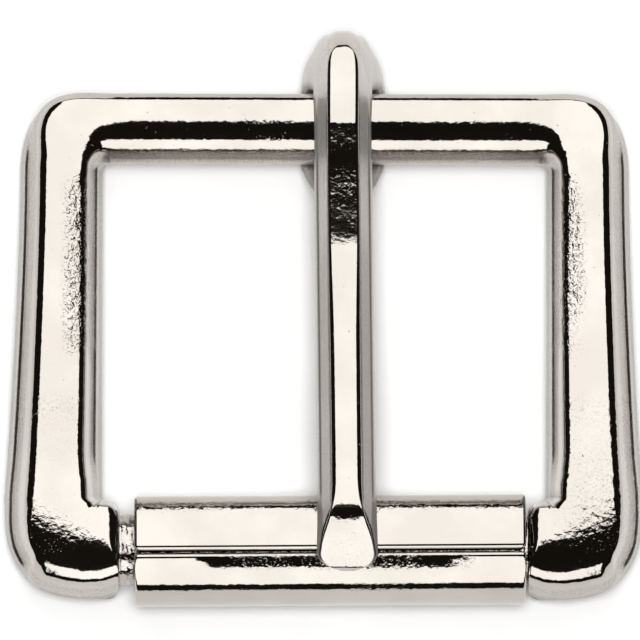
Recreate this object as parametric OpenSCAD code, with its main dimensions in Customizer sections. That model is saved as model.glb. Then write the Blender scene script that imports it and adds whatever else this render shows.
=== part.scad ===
// Roller buckle for a strap: one cast frame, a tongue that is closed round the
// heel bar, and a tube of rolled sheet that turns on the axle at the other end.
// X runs across the strap, Y from the roller towards the heel bar, Z up from
// the surface that the buckle lies on. The origin is under the middle of it.

/* [Window] */
// Clear width between the side bars, where the strap passes
strap_room = 26; // [20:0.1:40]
// Distance from the heel bar's axis to the axle's axis
bar_span = 24.6; // [20:0.1:45]
// Radius of the hollow corner between heel bar and side bar
heel_fillet = 0.5; // [0.2:0.05:1.5]
// Radius of the hollow corner between side bar and elbow
elbow_fillet = 0.2; // [0.1:0.05:1]

/* [Heel bar] */
// Radius of the round bar that the strap and the tongue turn on
heel_r = 2.03; // [1.5:0.01:2.8]

/* [Side bars] */
// Width of a side bar next to the heel bar
side_w = 4.9; // [3.6:0.05:6.5]
// Extra width that fills out the outer corner at the heel
heel_extra_w = 0.55; // [0:0.05:1]
// How far the heel bar's crest stands above the side bars' flat front
heel_crest = 0.12; // [0:0.01:0.5]
// How far the back of a side bar is arched up halfway along
back_arch = 0.6; // [0:0.05:1.5]

/* [Elbows] */
// How far a knob stands out round the axle bar, on the radius
knob_shoulder = 0.825; // [0.7:0.025:2]
// Extra width at the outer curve of an elbow
elbow_extra_w = 0.7; // [0:0.05:1.5]
// Height of an elbow's front above the axle's axis
elbow_rise = 2.8; // [2.75:0.05:4]
// How far an elbow's knob reaches in from the side bar towards the roller
knob_reach = 1.05; // [0.8:0.05:2.5]
// Radius that rounds the end of a knob
knob_round = 0.65; // [0.2:0.05:0.75]

/* [Axle and roller] */
// Radius of the axle bar between the knobs
axle_r = 2.05; // [1.5:0.01:2.1]
// Play between the axle bar and the inside of the roller, on the radius
axle_play = 0.3; // [0.2:0.01:0.5]
// Thickness of the roller's sheet
roller_wall = 0.9; // [0.5:0.05:1.2]
// How much shorter the roller is than the space between the knobs
end_play = 1.1; // [0.4:0.05:3]
// Width of the open seam along the roller
seam_gap = 0.12; // [0.05:0.01:0.5]
// Share of its end play that the loose roller has slid to the right
roller_slid = 0.35; // [0:0.05:0.45]
// How far the loose roller lies askew on its axle, in degrees
roller_skew = 0.5; // [0:0.1:0.5]

/* [Tongue] */
// Play between the heel bar and the tongue's eye, on the radius
eye_play = 0.25; // [0.1:0.01:0.5]
// Width of the tongue's straight shank
shank_w = 3.45; // [2.4:0.05:5]
// Thickness of the shank halfway along
shank_t = 2.3; // [1.6:0.05:3.2]
// Thickness of the loop over the crest of the heel bar
crown_t = 2.5; // [1.8:0.05:3.2]
// Thickness of the loop outside the heel bar
loop_t = 3.45; // [2:0.05:4]
// Thickness of the flattened tail behind the heel bar
tail_t = 0.95; // [0.7:0.05:1.6]
// Width of the flattened tail
tail_w = 5.1; // [4:0.05:7]
// How much thicker the tail is at its end, behind the heel bar
tail_swell = 1.6; // [0.5:0.05:2]
// How much narrower the loop's outer face is where it turns round the heel bar
loop_dome = 0.8; // [0:0.05:0.9]
// How far the tip reaches past the axle's axis
tip_reach = 1.25; // [0.5:0.05:2.5]
// Length of the slanted flat on the tip
facet_len = 3.5; // [2:0.1:5]
// Thickness left at the end of the slanted flat
tip_t = 0.65; // [0.4:0.05:1.2]
// Length over which the tip's outline is rounded
tip_round = 1.1; // [0.5:0.05:1.7]
// How far the tongue has slid to the right of the middle
tongue_slide = 1.05; // [0:0.05:3]
// How far the tip drifts further to the right along the shank
tip_drift = 0.35; // [0:0.05:0.8]

/* [Clearances] */
// Gap under the roller and the loop when the frame lies on a surface
rest_gap = 0.05; // [0.02:0.01:0.2]
// Gap between the resting tongue and the roller
tongue_gap = 0.08; // [0.05:0.01:0.3]

/* [Hidden] */
ROUND_FN = 96;
NICKEL = [0.80, 0.78, 0.74];
NICKEL_TONGUE = [0.84, 0.82, 0.78];
NICKEL_ROLLER = [0.88, 0.86, 0.82];

// Heights of the two axes above the resting plane
eye_r = heel_r + eye_play;
heel_z = rest_gap + tail_t + eye_r;
roller_r = axle_r + axle_play + roller_wall;
axle_z = rest_gap + roller_r;
elbow_w = 2 * (axle_r + knob_shoulder);
elbow_h = axle_z + elbow_rise;
heel_front = heel_z + heel_r - heel_crest;

// Places along Y, with the outermost points of loop and roller on either side of zero
loop_reach = eye_r + loop_t;
roller_len = strap_room - 2 * knob_reach - end_play;
roller_slide = roller_slid * end_play;
roller_reach = roller_r * cos(roller_skew) + roller_len / 2 * sin(roller_skew);
heel_y = (bar_span + roller_reach - loop_reach) / 2;
axle_y = heel_y - bar_span;
window_x = strap_room / 2;
heel_pivot_y = heel_y - heel_r - heel_fillet;
elbow_pivot_y = axle_y + elbow_w / 2 + elbow_fillet;

// Columns of the section tables: share of the width, share of the height
ACROSS = 0;
UP = 1;

// Side bar, from the window outwards: flat back, drafted walls, flat front
BAR_SECTION = [
    [0.10, 0.00], [0.50, 0.00], [0.90, 0.00], [0.96, 0.03], [0.99, 0.10], [1.00, 0.22],
    [0.97, 0.45], [0.93, 0.63], [0.86, 0.79], [0.79, 0.91], [0.75, 0.97], [0.70, 1.00],
    [0.44, 1.00], [0.20, 1.00], [0.155, 0.975], [0.125, 0.92], [0.075, 0.68], [0.03, 0.42],
    [0.00, 0.22], [0.01, 0.10], [0.04, 0.03]
];

// Elbow and knob: the front falls away to the outside in a broad curve
ELBOW_SECTION = [
    [0.18, 0.00], [0.50, 0.00], [0.82, 0.00], [0.90, 0.04], [0.96, 0.13], [1.00, 0.32],
    [0.99, 0.48], [0.96, 0.62], [0.91, 0.74], [0.84, 0.84], [0.73, 0.93], [0.60, 0.98],
    [0.42, 1.00], [0.22, 1.00], [0.15, 0.98], [0.10, 0.93], [0.045, 0.80], [0.01, 0.58],
    [0.00, 0.38], [0.03, 0.18], [0.09, 0.05]
];

// Tongue: flat front, sloping sides, flat underside
TONGUE_SECTION = [
    [-0.78, 0.00], [0.00, 0.00], [0.78, 0.00], [0.94, 0.06], [1.00, 0.20], [0.97, 0.38],
    [0.89, 0.58], [0.77, 0.77], [0.62, 0.91], [0.50, 0.98], [0.38, 1.00], [0.00, 1.00],
    [-0.38, 1.00], [-0.50, 0.98], [-0.62, 0.91], [-0.77, 0.77], [-0.89, 0.58], [-0.97, 0.38],
    [-1.00, 0.20], [-0.94, 0.06]
];

// Columns of a frame station: start point, heading, width, back, front, shares of shapes
PLACE = 0;
HEADING = 1;
WIDTH = 2;
BACK = 3;
FRONT = 4;
ROUNDNESS = 5;
ELBOWNESS = 6;

// Steps round a corner, along a side bar and round a knob's end
CORNER_STEPS = 10;
SIDE_STEPS = 9;
KNOB_STEPS = 4;
// How the cast corner closes over the bar: distance from the corner and radius,
// both as shares of the bar's radius
HEEL_SOCKET = [[0.64, 0.80], [0.22, 0.93], [0.075, 1.03]];
// Power of the curve by which a side bar widens and rises towards its elbow
FLARE = 1.6;

function mix(a, b, t) = a + (b - a) * t;
function ease(t) = t * t * (3 - 2 * t);
function clamp01(t) = max(0, min(1, t));
function fullness(angle) = pow(sin(2 * angle), 2);

// A section point moved onto the ellipse that fills the same box
function rounded(p) =
    let (a = atan2(p[UP] - 0.5, p[ACROSS] - 0.5))
    [0.5 + 0.5 * cos(a), 0.5 + 0.5 * sin(a)];

// The points of one frame section
function frame_ring(s) = [
    for (k = [0:len(BAR_SECTION) - 1])
        let (
            cast_point = mix(BAR_SECTION[k], ELBOW_SECTION[k], s[ELBOWNESS]),
            p = mix(cast_point, rounded(BAR_SECTION[k]), s[ROUNDNESS]),
            along = p[ACROSS] * s[WIDTH]
        )
        [
            s[PLACE][0] + along * cos(s[HEADING]),
            s[PLACE][1] + along * sin(s[HEADING]),
            mix(s[BACK], s[FRONT], p[UP])
        ]
];

// Where the cast corner closes over the end of the round heel bar
heel_socket = [
    for (row = HEEL_SOCKET)
        let (r = heel_r * row[1])
        [
            [window_x - heel_fillet - heel_r * row[0], heel_y - r], 90,
            2 * r, heel_z - r, heel_z + r, 1, 0
        ]
];

// Round the heel corner, from the heel bar to the side bar
heel_corner_w = heel_r * 2 * HEEL_SOCKET[2][1];
heel_corner = [
    for (k = [0:CORNER_STEPS])
        let (t = k / CORNER_STEPS, angle = 90 * (1 - t))
        [
            [
                window_x - heel_fillet + heel_fillet * cos(angle),
                heel_pivot_y + heel_fillet * sin(angle) - heel_r * (HEEL_SOCKET[2][1] - 1) * (1 - t)
            ],
            angle,
            mix(heel_corner_w, side_w, ease(t)) + heel_extra_w * fullness(angle),
            mix(heel_z - heel_r, 0, ease(clamp01(1.6 * t))),
            mix(heel_z + heel_r * HEEL_SOCKET[2][1], heel_front, ease(t)),
            1 - ease(clamp01(1.25 * t)),
            0
        ]
];

// Down the side bar to the elbow
side_bar = [
    for (k = [1:SIDE_STEPS])
        let (t = k / SIDE_STEPS)
        [
            [window_x, mix(heel_pivot_y, elbow_pivot_y, t)],
            0,
            mix(side_w, elbow_w, pow(t, FLARE)),
            back_arch * pow(sin(180 * t), 2),
            mix(heel_front, elbow_h, pow(t, FLARE)),
            0,
            0.15 * pow(t, 4)
        ]
];

// Round the elbow, from the side bar to the knob
knob_back = axle_z - elbow_w / 2;
elbow = [
    for (k = [1:CORNER_STEPS])
        let (t = k / CORNER_STEPS, angle = -90 * t)
        [
            [
                window_x - elbow_fillet + elbow_fillet * cos(angle),
                elbow_pivot_y + elbow_fillet * sin(angle)
            ],
            angle,
            elbow_w + elbow_extra_w * fullness(angle),
            0,
            elbow_h,
            0,
            mix(0.15, 1, ease(t))
        ]
];

// Along the knob to its rounded end
knob_end_x = window_x - knob_reach;
knob = [
    for (k = [0:KNOB_STEPS])
        let (
            a = 90 * k / KNOB_STEPS,
            inset = knob_round * (1 - cos(a))
        )
        [
            [knob_end_x + knob_round * (1 - sin(a)), axle_y + elbow_w / 2 - inset],
            -90,
            elbow_w - 2 * inset,
            mix(0, knob_back, a / 90) + inset,
            elbow_h - inset,
            0,
            1
        ]
];

// Closes a row of rings, all with the same number of points, into a solid
module ring_solid(rings) {
    count = len(rings[0]);
    last = len(rings) - 1;
    polyhedron(
        points = [for (ring = rings) each ring],
        faces = concat(
            [[for (k = [0:count - 1]) k]],
            [[for (k = [count - 1:-1:0]) last * count + k]],
            [
                for (i = [0:last - 1], k = [0:count - 1])
                    let (n = (k + 1) % count)
                    [i * count + k, (i + 1) * count + k, (i + 1) * count + n]
            ],
            [
                for (i = [0:last - 1], k = [0:count - 1])
                    let (n = (k + 1) % count)
                    [i * count + k, (i + 1) * count + n, i * count + n]
            ]
        )
    );
}

module bar_along_x(r, length) {
    rotate([0, 90, 0]) cylinder(r = r, h = length, center = true, $fn = ROUND_FN);
}

// One side of the casting: heel corner, side bar, elbow and knob
module frame_side() {
    ring_solid([for (s = concat(heel_socket, heel_corner, side_bar, elbow, knob)) frame_ring(s)]);
}

module frame() {
    color(NICKEL) union() {
        translate([0, heel_y, heel_z]) bar_along_x(heel_r, strap_room + heel_fillet);
        translate([0, axle_y, axle_z]) bar_along_x(axle_r, strap_room);
        frame_side();
        mirror([1, 0, 0]) frame_side();
    }
}

// Columns of a loop row: angle round the heel bar, thickness, width, and how much
// narrower the outer face is, which rounds it
TURN = 0;
THICKNESS = 1;
BREADTH = 2;
DOME = 3;
// The loop runs from the tail's end, behind and under the bar, to the crown over it
LOOP_ROWS = [
    [-201, tail_t * 0.55 + tail_swell, tail_w * 0.60, 0],
    [-198, tail_t * 0.90 + tail_swell * 0.97, tail_w * 0.72, 0],
    [-192, tail_t * 1.25 + tail_swell * 0.85, tail_w * 0.85, 0],
    [-183, tail_t * 1.45 + tail_swell * 0.65, tail_w * 0.95, 0],
    [-170, tail_t * 1.50 + tail_swell * 0.40, tail_w, 0],
    [-150, tail_t * 1.35 + tail_swell * 0.10, tail_w, 0],
    [-120, tail_t * 1.08, tail_w, 0],
    [-90, tail_t, tail_w, 0],
    [-60, mix(tail_t, loop_t, 0.12), tail_w, loop_dome * 0.3],
    [-30, mix(tail_t, loop_t, 0.65), mix(shank_w, tail_w, 0.95), loop_dome * 0.9],
    [0, loop_t, mix(shank_w, tail_w, 0.60), loop_dome],
    [30, mix(loop_t, crown_t, 0.25), mix(shank_w, tail_w, 0.45), loop_dome * 0.8],
    [60, mix(loop_t, crown_t, 0.70), mix(shank_w, tail_w, 0.30), loop_dome * 0.2],
    [90, crown_t, mix(shank_w, tail_w, 0.20), 0]
];
// The higher this power, the closer to the outer face the narrowing stays
DOME_POWER = 8;
LOOP_STEPS = 32;

// How deep the loop's own underside is sunk into the eye before the eye is cut
eye_skin = eye_play * 1.2;

// Columns of a shank row: share of the way from bar to tip, share of the way that
// the underside has climbed to the roller, thickness and width
TRAVEL = 0;
CLIMB = 1;
DEPTH = 2;
SPREAD = 3;
shank_under = axle_z + roller_r + tongue_gap;
crown_under = heel_z + eye_r;
SHANK_ROWS = [
    [0.00, 0.00, crown_t, mix(shank_w, tail_w, 0.20)],
    [0.10, -0.25, crown_t * 0.98, mix(shank_w, tail_w, 0.10)],
    [0.20, -0.30, mix(crown_t, shank_t, 0.75), shank_w],
    [0.32, -0.10, shank_t, shank_w],
    [0.50, 0.25, shank_t, shank_w],
    [0.70, 0.62, shank_t, shank_w],
    [0.88, 0.95, shank_t, shank_w],
    [0.95, 1.00, shank_t, shank_w],
    [1.00, 1.00, shank_t, shank_w]
];
SHANK_STEPS = 30;
TIP_STEPS = 6;
tongue_len = bar_span + tip_reach;

// Value of a table's column at a place, on a smooth curve through the rows
function row_at(rows, x, k = 0) = (k >= len(rows) - 2 || rows[k + 1][0] >= x) ? k : row_at(rows, x, k + 1);
function slope(rows, col, k) =
    let (a = max(0, k - 1), b = min(len(rows) - 1, k + 1))
    (rows[b][col] - rows[a][col]) / (rows[b][0] - rows[a][0]);
function smooth_at(rows, col, x) =
    let (
        k = row_at(rows, x),
        step = rows[k + 1][0] - rows[k][0],
        t = (x - rows[k][0]) / step,
        m0 = slope(rows, col, k) * step,
        m1 = slope(rows, col, k + 1) * step
    )
    rows[k][col] * (1 + 2 * t) * pow(1 - t, 2) + m0 * t * pow(1 - t, 2)
    + rows[k + 1][col] * t * t * (3 - 2 * t) - m1 * t * t * (1 - t);

// Sideways place of the tongue's middle at a distance from the heel bar
function tongue_x(travel) = tongue_slide + tip_drift * travel;

function loop_ring(turn) =
    let (
        thick = smooth_at(LOOP_ROWS, THICKNESS, turn) + eye_skin,
        half = smooth_at(LOOP_ROWS, BREADTH, turn) / 2,
        dome = max(0, smooth_at(LOOP_ROWS, DOME, turn))
    )
    [
        for (p = TONGUE_SECTION)
            let (
                r = eye_r - eye_skin + p[UP] * thick,
                across = p[ACROSS] * (1 - dome * pow(p[UP], DOME_POWER))
            )
            [tongue_x(0) + across * half, heel_y + r * cos(turn), heel_z + r * sin(turn)]
    ];

// The slanted flat comes down from the shank's front to the tip
function facet_z(travel) =
    shank_under + tip_t + (shank_t - tip_t) * (1 - travel) * tongue_len / facet_len;

// Share of the width that is left at a distance from the rounded end
function tip_width(travel) =
    let (left = clamp01((1 - travel) * tongue_len / tip_round))
    sqrt(1 - pow(1 - left, 2));

function shank_ring(travel) =
    let (
        climb = smooth_at(SHANK_ROWS, CLIMB, travel),
        under = mix(crown_under, shank_under, climb),
        thick = smooth_at(SHANK_ROWS, DEPTH, travel),
        skin = eye_skin * clamp01(1 - travel / 0.04),
        half = smooth_at(SHANK_ROWS, SPREAD, travel) / 2 * max(0.25, tip_width(travel))
    )
    [
        for (p = TONGUE_SECTION)
            [
                tongue_x(travel) + p[ACROSS] * half,
                heel_y - travel * tongue_len,
                min(under - skin + p[UP] * (thick + skin), facet_z(travel))
            ]
    ];

tip_start = 1 - tip_round / tongue_len;
tongue_rings = concat(
    [
        for (k = [0:LOOP_STEPS])
            loop_ring(mix(LOOP_ROWS[0][TURN], 90, k / LOOP_STEPS))
    ],
    [for (k = [1:SHANK_STEPS]) shank_ring(tip_start * k / SHANK_STEPS)],
    [for (k = [1:TIP_STEPS]) shank_ring(mix(tip_start, 1, sin(90 * k / TIP_STEPS)))]
);

module tongue() {
    color(NICKEL_TONGUE) difference() {
        ring_solid(tongue_rings);
        translate([tongue_slide, heel_y, heel_z]) bar_along_x(eye_r, tail_w * 2);
    }
}

// A tube of rolled sheet with its butt seam on top
module roller() {
    color(NICKEL_ROLLER)
        translate([roller_slide, axle_y, axle_z]) rotate([0, 0, roller_skew])
            difference() {
                bar_along_x(roller_r, roller_len);
                bar_along_x(roller_r - roller_wall, roller_len * 2);
                translate([-roller_len, -seam_gap / 2, 0])
                    cube([roller_len * 2, seam_gap, roller_r * 2]);
            }
}

frame();
tongue();
roller();
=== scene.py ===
import bpy
import numpy as np
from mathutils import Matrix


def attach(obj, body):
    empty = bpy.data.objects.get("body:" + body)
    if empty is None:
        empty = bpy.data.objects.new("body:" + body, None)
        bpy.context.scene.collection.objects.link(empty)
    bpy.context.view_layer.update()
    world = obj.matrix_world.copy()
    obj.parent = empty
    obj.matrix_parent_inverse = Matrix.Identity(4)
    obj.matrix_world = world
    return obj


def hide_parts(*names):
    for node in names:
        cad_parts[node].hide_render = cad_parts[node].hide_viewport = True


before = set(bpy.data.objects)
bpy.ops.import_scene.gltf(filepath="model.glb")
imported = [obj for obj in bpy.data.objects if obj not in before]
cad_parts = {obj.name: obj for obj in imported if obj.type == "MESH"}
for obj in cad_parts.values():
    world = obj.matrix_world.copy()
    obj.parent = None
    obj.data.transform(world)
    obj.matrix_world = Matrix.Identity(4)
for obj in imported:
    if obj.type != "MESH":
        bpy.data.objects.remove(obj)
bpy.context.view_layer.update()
# Sizes are in millimetres, and MM turns them into metres
MM = 0.001


# Studio: the buckle lies on a pale table under a long white light tent.
# The tent is open on both sides and has a dark gap where the camera looks in,
# so bright metal shows white faces, black edges and grey walls.
TABLE_HALF = 1200 * MM
TABLE_Z = -0.02 * MM
table_mesh = bpy.data.meshes.new("table")
table_mesh.from_pydata(
    [(x * TABLE_HALF, y * TABLE_HALF, TABLE_Z) for x, y in ((-1, -1), (1, -1), (1, 1), (-1, 1))],
    [],
    [(0, 1, 2, 3)],
)
table = bpy.data.objects.new("table", table_mesh)
bpy.context.collection.objects.link(table)


class Wire:
    """A shader socket that can be used in Python expressions; each operator adds a Math node."""

    def __init__(self, tree, socket):
        self.tree = tree
        self.socket = socket

    def node(self, kind, settings=None, inputs=None, output=0):
        """Adds a node of a kind, sets its settings, then its sockets to values or wires."""
        made = self.tree.nodes.new(kind)
        for name, value in (settings or {}).items():
            setattr(made, name, value)
        for name, value in (inputs or {}).items():
            if isinstance(value, Wire):
                self.tree.links.new(value.socket, made.inputs[name])
            else:
                made.inputs[name].default_value = value
        return Wire(self.tree, made.outputs[output] if len(made.outputs) else None)

    def math(self, operation, *values):
        """Adds a Math node for an operation on values or wires."""
        return self.node("ShaderNodeMath", {"operation": operation}, dict(enumerate(values)))

    def __add__(self, other):
        return self.math("ADD", self, other)

    def __sub__(self, other):
        return self.math("SUBTRACT", self, other)

    def __rsub__(self, other):
        return self.math("SUBTRACT", other, self)

    def __mul__(self, other):
        return self.math("MULTIPLY", self, other)

    def __truediv__(self, other):
        return self.math("DIVIDE", self, other)

    __radd__ = __add__
    __rmul__ = __mul__

    def step(self, low, high):
        """Rises smoothly from 0 at low to 1 at high."""
        return self.node(
            "ShaderNodeMapRange",
            {"interpolation_type": "SMOOTHSTEP"},
            {"Value": self, "From Min": low, "From Max": high},
        )

    def band(self, low, high, soft):
        """1 between low and high, with soft edges."""
        return self.step(low - soft, low + soft) * (1 - self.step(high - soft, high + soft))

    def axes(self):
        """The three coordinates of a vector, as separate wires."""
        split = self.node("ShaderNodeSeparateXYZ", inputs={0: self}).socket.node
        return [Wire(self.tree, output) for output in split.outputs]

    def mix(self, low, high):
        """Mixes two colours by this factor."""
        return self.node(
            "ShaderNodeMix",
            {"data_type": "RGBA"},
            {"Factor": self, 6: low, 7: high},
            output=2,
        )


def new_tree(owner):
    """Gives a material or world an empty node tree and returns a wire on it."""
    owner.use_nodes = True
    owner.node_tree.nodes.clear()
    return Wire(owner.node_tree, None)


TABLE_WHITE = (0.86, 0.86, 0.855, 1)
TABLE_SHADE = (0.83, 0.83, 0.825, 1)
PAPER_GRAIN_SCALE = 400.0
PAPER_ROUGHNESS = 0.8
table_paper = bpy.data.materials.new("table_paper")
tree = new_tree(table_paper)
paper_grain = tree.node("ShaderNodeTexNoise", inputs={"Scale": PAPER_GRAIN_SCALE, "Detail": 3.0})
paper_colour = paper_grain.step(0.3, 0.7).mix(TABLE_SHADE, TABLE_WHITE)
paper = tree.node(
    "ShaderNodeBsdfPrincipled",
    inputs={"Base Color": paper_colour, "Roughness": PAPER_ROUGHNESS},
)
tree.node("ShaderNodeOutputMaterial", inputs={"Surface": paper})
table_mesh.materials.append(table_paper)

# Angles of the tent's two sheets along the strap and their soft edges, in degrees from
# straight up towards the heel bar, and the sine of its angle to each side
TENT_NEAR = -7.0
TENT_FAR = 81.0
FRONT_NEAR = -74.0
FRONT_FAR = -38.0
TENT_EDGE = 0.6
TENT_HALF_WIDTH = 0.30
TENT_SIDE_EDGE = 0.02
TENT_LIGHT = (1.96, 1.95, 1.95, 1)
TENT_DARK = (0.012, 0.010, 0.008, 1)
studio = bpy.data.worlds.new("studio")
bpy.context.scene.world = studio
tree = new_tree(studio)
direction = tree.node("ShaderNodeTexCoord")
across, along, height = direction.axes()
lean = along.math("ARCTAN2", along, height) * (180 / np.pi)
roof = lean.band(TENT_NEAR, TENT_FAR, TENT_EDGE) + lean.band(FRONT_NEAR, FRONT_FAR, TENT_EDGE)
tent = roof * across.band(-TENT_HALF_WIDTH, TENT_HALF_WIDTH, TENT_SIDE_EDGE)
sky = tree.node(
    "ShaderNodeBackground",
    inputs={"Color": tent.mix(TENT_DARK, TENT_LIGHT), "Strength": 1.0},
)
tree.node("ShaderNodeOutputWorld", inputs={"Surface": sky})

# A soft fill for the table alone
FILL_HEIGHT = 900 * MM
FILL_SIZE = 300 * MM
FILL_POWER = 6.8
fill_data = bpy.data.lights.new("fill", "AREA")
fill_data.shape = "DISK"
fill_data.size = FILL_SIZE
fill_data.energy = FILL_POWER
fill = bpy.data.objects.new("fill", fill_data)
fill.location = (0, 0, FILL_HEIGHT)
fill.visible_glossy = False
fill.visible_camera = False
bpy.context.collection.objects.link(fill)

# The camera looks down almost straight, from a little towards the roller's side
PHOTO_SIDE = 640
PIXELS_PER_MM = 17.1
CAMERA_DISTANCE = 600 * MM
CAMERA_TILT = np.radians(2.0)
CAMERA_ROLL = np.radians(0.15)
TARGET = np.array([-0.19, -0.04, 3.3]) * MM
SENSOR_WIDTH = 36.0
camera_data = bpy.data.cameras.new("camera")
camera_data.sensor_width = SENSOR_WIDTH
camera_data.lens = SENSOR_WIDTH * CAMERA_DISTANCE / (PHOTO_SIDE / PIXELS_PER_MM * MM)
camera = bpy.data.objects.new("camera", camera_data)
backwards = np.array([0, -np.sin(CAMERA_TILT), np.cos(CAMERA_TILT)])
camera.location = TARGET + CAMERA_DISTANCE * backwards
camera.rotation_euler = (CAMERA_TILT, 0, CAMERA_ROLL)
bpy.context.collection.objects.link(camera)
bpy.context.scene.camera = camera
bpy.context.scene.view_settings.view_transform = "Standard"


# Frame: one casting of zinc alloy, polished and nickel-plated.
# A round heel bar runs into two flat-fronted side bars, thick elbows with knobs,
# and a plain round axle bar under the roller.
STRAP_ROOM = 26.0
BAR_SPAN = 24.6
HEEL_Y = 11.1097
AXLE_Y = HEEL_Y - BAR_SPAN
HEEL_R = 2.03
HEEL_Z = 3.28
HEEL_FRONT = 5.19
AXLE_R = 2.05
AXLE_Z = 3.30
HEEL_FILLET = 0.5
ELBOW_FILLET = 0.2
SIDE_W = 4.9
SIDE_EXTRA = 0.55
ELBOW_W = 5.75
ELBOW_EXTRA = 0.7
ELBOW_H = 6.1
BACK_ARCH = 0.6
KNOB_REACH = 1.05
KNOB_ROUND = 0.75
KNOB_FRONT_ROUND = 0.4
NECK_STEP = 0.02
NECK_END = 10.6
NECK_LUMP = 0.025
FLARE = 1.6
WINDOW_X = STRAP_ROOM / 2
KNOB_FACE = WINDOW_X - KNOB_REACH

# Each section's corners as shares of width and height, and their radii in mm: the
# back's two corners, the outer wall with its ledge, the outer shoulder, the break in
# the front, the inner shoulder, and the inner wall with its ledge
HEEL_SECTION = np.array([
    [0.293, 0.0, 2.03], [0.707, 0.0, 2.03], [1.0, 0.293, 2.03], [1.0, 0.60, 1.0], [1.0, 0.862, 0.80],
    [0.845, 1.0, 0.90], [0.524, 1.0, 4.84], [0.238, 0.907, 1.9], [0.0, 0.669, 2.39], [0.0, 0.45, 1.0],
    [0.0, 0.293, 2.03],
])
HEEL_CORNER_SECTION = np.array([
    [0.15, 0.0, 1.2], [0.85, 0.0, 1.2], [1.0, 0.27, 1.6], [1.0, 0.60, 0.5], [0.995, 0.86, 0.5],
    [0.925, 1.0, 0.45], [0.27, 1.0, 0.8], [0.17, 0.952, 0.8], [0.06, 0.66, 0.8], [0.03, 0.5, 1.0],
    [0.0, 0.27, 1.6],
])
SIDE_SECTION = np.array([
    [0.07, 0.0, 0.6], [0.93, 0.0, 0.6], [1.0, 0.22, 1.5], [0.930, 0.550, 0.10], [0.888, 0.575, 0.08],
    [0.738, 1.0, 0.67], [0.40, 1.0, 4.0], [0.175, 0.985, 0.55], [0.092, 0.62, 0.08], [0.058, 0.60, 0.10],
    [0.0, 0.22, 1.5],
])
DIAGONAL_SECTION = np.array([
    [0.10, 0.0, 0.9], [0.90, 0.0, 0.9], [1.0, 0.25, 1.6], [0.955, 0.50, 0.15], [0.912, 0.53, 0.12],
    [0.755, 1.0, 0.75], [0.40, 1.0, 5.0], [0.10, 1.0, 0.5], [0.03, 0.75, 0.4], [0.015, 0.55, 1.0],
    [0.0, 0.30, 1.6],
])
ELBOW_SECTION = np.array([
    [0.12, 0.0, 0.9], [0.88, 0.0, 0.9], [1.0, 0.34, 1.6], [1.0, 0.55, 1.0], [0.99, 0.80, 1.2],
    [0.89, 1.0, 1.0], [0.45, 1.0, 4.0], [0.06, 1.0, 0.5], [0.01, 0.80, 0.6], [0.0, 0.55, 1.0],
    [0.0, 0.36, 1.6],
])
# The side's section has another break in the front and inner shoulder beside the heel
# corner, and others again over the upper half of the side bar
BEND_FRONT = ([0.24, 1.0, 0.8], [0.165, 0.965, 0.60])
UPPER_FRONT = ([0.40, 1.0, 8.0], [0.175, 0.972, 0.62])
# The elbow's front falls away from the heel bar. Each row: a place across the strap,
# where the fall begins there, and where its slope reaches each later one of FALL_SLOPES
ELBOW_FALL = np.array([
    [11.98, -12.6, -13.39, -14.38, -15.08, -15.90],
    [12.90, -12.2, -13.04, -14.73, -15.38, -16.31],
    [14.10, -11.7, -12.60, -14.79, -15.43, -16.54],
    [15.10, -11.3, -12.22, -14.59, -15.32, -16.43],
    [16.30, -10.8, -11.72, -14.29, -15.02, -16.15],
    [16.95, -10.4, -11.30, -13.35, -14.35, -20.00],
    [18.80, -9.6, -10.40, -11.90, -13.10, -20.00],
])
FALL_SLOPES = (0.0, 0.06, 0.325, 0.93, 5.7)
# Waves that roughen the neck: each one's size, radians to the millimetre along it, waves
# round it and phase; then their strength, how far inwards they all lie, and over how many
# millimetres they fade in from the roller and out before the knob
LUMP_WAVES = ((1.0, 5.1, 3, 0), (1.0, 9.3, -4, 1), (0.7, 13.7, 7, 2), (0.5, 4.3, 11, 0))
LUMP_GAIN = 0.45
LUMP_DROP = 0.3
LUMP_FADE_IN = 0.3
LUMP_FADE_OUT = 0.08
# Rings along each stretch of the frame, and points round a ring
HEEL_RINGS = 42
TURN_RINGS = 66
SIDE_RINGS = 60
KNOB_RINGS = 16
NECK_RINGS = 6
BARE_RINGS = 30
RING_POINTS = 170
ARC_POINTS = 14
EDGE_POINTS = 6
# How much of an edge's length a corner's arc may take
ARC_ROOM = 0.49
# Above which share of its height a section's points stand closer together, and how much
FRONT_FROM = 0.4
FRONT_DENSITY = 3
# Share of the heel corner by which the frame's back has come down to the table
BACK_FULL = 0.625
# Where the sections take over from one another, as shares of the way along a stretch,
# and how far the corner's and the diagonal's have come in where two stretches meet
CORNER_START = 0.94
CORNER_FULL = 0.6
BEND_START = 0.4
BEND_FULL = 0.9
UPPER_FULL = 0.05
SIDE_START = 0.10
SIDE_FULL = 0.52
DIAGONAL_START = 0.85
DIAGONAL_FULL = 1 / 3
ELBOW_START = 0.42
ELBOW_FULL = 0.64
CORNER_BEGUN = 0.15
DIAGONAL_BEGUN = 0.5


def with_front(front_break, inner_shoulder):
    """The side's section with another break in its front and another inner shoulder."""
    section = SIDE_SECTION.copy()
    section[6:8] = front_break, inner_shoulder
    return section


# In the order of the last columns of a station; the side's own section comes last
SECTIONS = np.stack([
    HEEL_SECTION, HEEL_CORNER_SECTION, with_front(*BEND_FRONT), with_front(*UPPER_FRONT),
    DIAGONAL_SECTION, ELBOW_SECTION, SIDE_SECTION,
])


def ease(value, start=0, end=1):
    """Smooth step from 0 at start to 1 at end: 3 t squared less 2 t cubed, t the share of the way."""
    t = np.clip((value - start) / (end - start), 0, 1)
    return t * t * (3 - 2 * t)


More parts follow.
